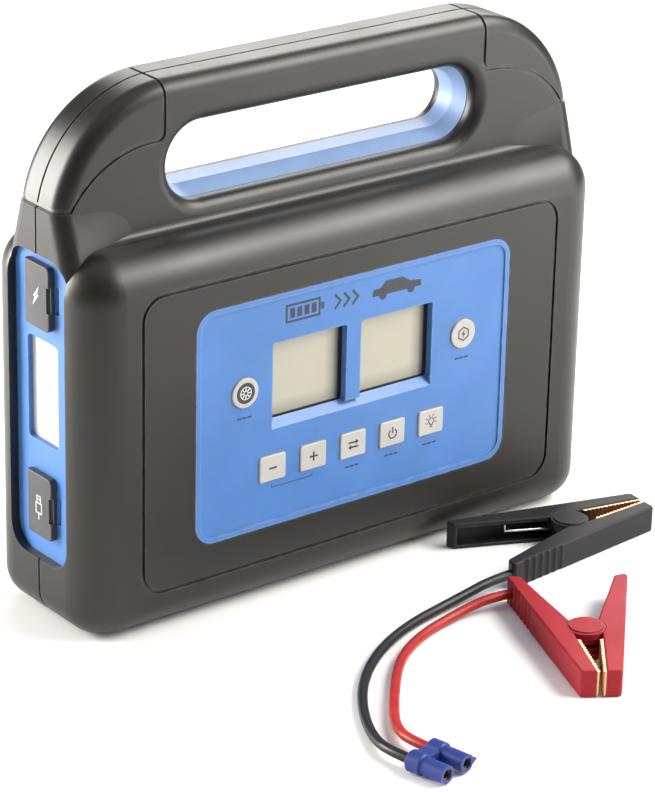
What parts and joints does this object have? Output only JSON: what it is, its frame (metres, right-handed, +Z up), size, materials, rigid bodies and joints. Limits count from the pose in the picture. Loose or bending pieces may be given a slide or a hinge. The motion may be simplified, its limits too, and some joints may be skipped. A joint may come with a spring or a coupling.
{
  "type": "jump starter pack",
  "caption": "Portable jump starter pack with a carrying handle, control panel, lamp, covered ports and a separate pair of battery clamps on leads.",
  "frame": {"origin": "middle of the resting face of the case, on the ground", "axes": "+Z up, front with the control panel towards -Y, port side at -X"},
  "size_m": [0.271, 0.2444, 0.228],
  "materials": {
    "case_plastic": "satin moulded",
    "blue_plastic": "satin moulded",
    "key_plastic": "satin moulded",
    "display_glass": "display film",
    "circuit_board": "solder mask",
    "switch_metal": "stamped",
    "cover_rubber": "matt moulded",
    "lamp_plastic": "frosted",
    "socket_plastic": "moulded",
    "contact_metal": "turned",
    "socket_metal": "stamped",
    "cell_wrap": "foil wrap",
    "gear_plastic": "moulded nylon",
    "pump_alloy": "die cast",
    "pipe_rubber": "smooth",
    "black_clamp_plastic": "satin moulded",
    "red_clamp_plastic": "satin moulded",
    "jaw_copper": "stamped copper",
    "clamp_steel": "plated",
    "plug_plastic": "nylon",
    "black_silicone": "silicone",
    "red_silicone": "silicone"
  },
  "bodies": {
    "case": {"air_outlet": "contact_metal", "air_pipe": "pipe_rubber", "battery_cells": "cell_wrap", "battery_tray": "socket_plastic", "case_screws": "socket_metal", "charge_display": "display_glass", "charge_socket": "socket_plastic", "control_board": "circuit_board", "control_panel": "blue_plastic", "corner_cap_front_left": "case_plastic", "corner_cap_front_right": "case_plastic", "corner_cap_rear_left": "case_plastic", "corner_cap_rear_right": "case_plastic", "cylinder_head": "pump_alloy", "feet": "cover_rubber", "front_shell": "case_plastic", "handle_liner": "blue_plastic", "inflator_cylinder": "pump_alloy", "inflator_frame": "socket_plastic", "inflator_motor": "socket_metal", "jump_socket": "socket_plastic", "jump_socket_pins": "contact_metal", "key_switches": "switch_metal", "lamp_board": "circuit_board", "lamp_diffuser": "lamp_plastic", "lamp_lens": "lamp_plastic", "power_board": "circuit_board", "pressure_display": "display_glass", "rear_shell": "case_plastic", "right_panel": "blue_plastic", "side_panel": "blue_plastic", "usb_socket": "socket_metal"},
    "leads": {"black_cable": "black_silicone", "black_clamp_arm": "black_clamp_plastic", "black_clamp_arm_jaw": "jaw_copper", "black_clamp_pin": "clamp_steel", "black_clamp_spring": "clamp_steel", "plug_contacts": "contact_metal", "plug_housing": "plug_plastic", "red_cable": "red_silicone", "red_clamp_arm": "red_clamp_plastic", "red_clamp_arm_jaw": "jaw_copper", "red_clamp_pin": "clamp_steel", "red_clamp_spring": "clamp_steel"},
    "black_lever": {"black_clamp_lever": "black_clamp_plastic", "black_clamp_lever_jaw": "jaw_copper"},
    "red_lever": {"red_clamp_lever": "red_clamp_plastic", "red_clamp_lever_jaw": "jaw_copper"},
    "crank_gear": {"crank_gear": "gear_plastic"},
    "jump_port_cover": {"jump_port_cover": "cover_rubber"},
    "key_engine_start": {"key_engine_start": "key_plastic"},
    "key_inflator": {"key_inflator": "key_plastic"},
    "key_light": {"key_light": "key_plastic"},
    "key_minus": {"key_minus": "key_plastic"},
    "key_mode": {"key_mode": "key_plastic"},
    "key_plus": {"key_plus": "key_plastic"},
    "key_power": {"key_power": "key_plastic"},
    "motor_pinion": {"motor_pinion": "contact_metal"},
    "piston_rod": {"piston_rod": "pump_alloy"},
    "usb_port_cover": {"usb_port_cover": "cover_rubber"}
  },
  "joints": [
    {"name": "key_minus_press", "type": "slide", "parent": "case", "child": "key_minus", "axis": [0, 1, 0], "range_m": [0, 0.0006], "stiffness_N_per_m": 100, "springref_m": -0.002},
    {"name": "key_plus_press", "type": "slide", "parent": "case", "child": "key_plus", "axis": [0, 1, 0], "range_m": [0, 0.0006], "stiffness_N_per_m": 100, "springref_m": -0.002},
    {"name": "key_mode_press", "type": "slide", "parent": "case", "child": "key_mode", "axis": [0, 1, 0], "range_m": [0, 0.0006], "stiffness_N_per_m": 100, "springref_m": -0.002},
    {"name": "key_power_press", "type": "slide", "parent": "case", "child": "key_power", "axis": [0, 1, 0], "range_m": [0, 0.0006], "stiffness_N_per_m": 100, "springref_m": -0.002},
    {"name": "key_light_press", "type": "slide", "parent": "case", "child": "key_light", "axis": [0, 1, 0], "range_m": [0, 0.0006], "stiffness_N_per_m": 100, "springref_m": -0.002},
    {"name": "key_inflator_press", "type": "slide", "parent": "case", "child": "key_inflator", "axis": [0, 1, 0], "range_m": [0, 0.0006], "stiffness_N_per_m": 100, "springref_m": -0.002},
    {"name": "key_engine_start_press", "type": "slide", "parent": "case", "child": "key_engine_start", "axis": [0, 1, 0], "range_m": [0, 0.0006], "stiffness_N_per_m": 100, "springref_m": -0.002},
    {"name": "jump_port_cover_hinge", "type": "hinge", "parent": "case", "child": "jump_port_cover", "pos_m": [-0.1325, 0.0082, 0.144], "axis": [0, 0, -1], "range_deg": [0, 110]},
    {"name": "usb_port_cover_hinge", "type": "hinge", "parent": "case", "child": "usb_port_cover", "pos_m": [-0.1325, 0.0082, 0.052], "axis": [0, 0, -1], "range_deg": [0, 110]},
    {"name": "crank_gear_spin", "type": "hinge", "parent": "case", "child": "crank_gear", "pos_m": [0.106, -0.013, 0.061], "axis": [0, 1, 0], "continuous": true},
    {"name": "motor_pinion_spin", "type": "hinge", "parent": "case", "child": "motor_pinion", "pos_m": [0.106, -0.013, 0.036], "axis": [0, 1, 0], "continuous": true},
    {"name": "piston_stroke", "type": "slide", "parent": "case", "child": "piston_rod", "axis": [0, 0, -1], "range_m": [0, 0.016]},
    {"name": "lead_set_position", "type": "slide", "parent": "case", "child": "leads", "axis": [0, -1, 0], "range_m": [0, 0.08]},
    {"name": "black_clamp_squeeze", "type": "hinge", "parent": "leads", "child": "black_lever", "pos_m": [0.0955, -0.0705, 0.006], "axis": [0, 0, 1], "range_deg": [0, 30], "stiffness_Nm_per_rad": 0.6, "springref_deg": -22.92, "deforming": ["black_clamp_spring"]},
    {"name": "red_clamp_squeeze", "type": "hinge", "parent": "leads", "child": "red_lever", "pos_m": [0.031, -0.153, 0.006], "axis": [0, 0, 1], "range_deg": [0, 30], "stiffness_Nm_per_rad": 0.6, "springref_deg": -22.92, "deforming": ["red_clamp_spring"]}
  ],
  "couplings": [
    {"joint": "motor_pinion_spin", "follows": "crank_gear_spin", "ratio": -4}
  ]
}
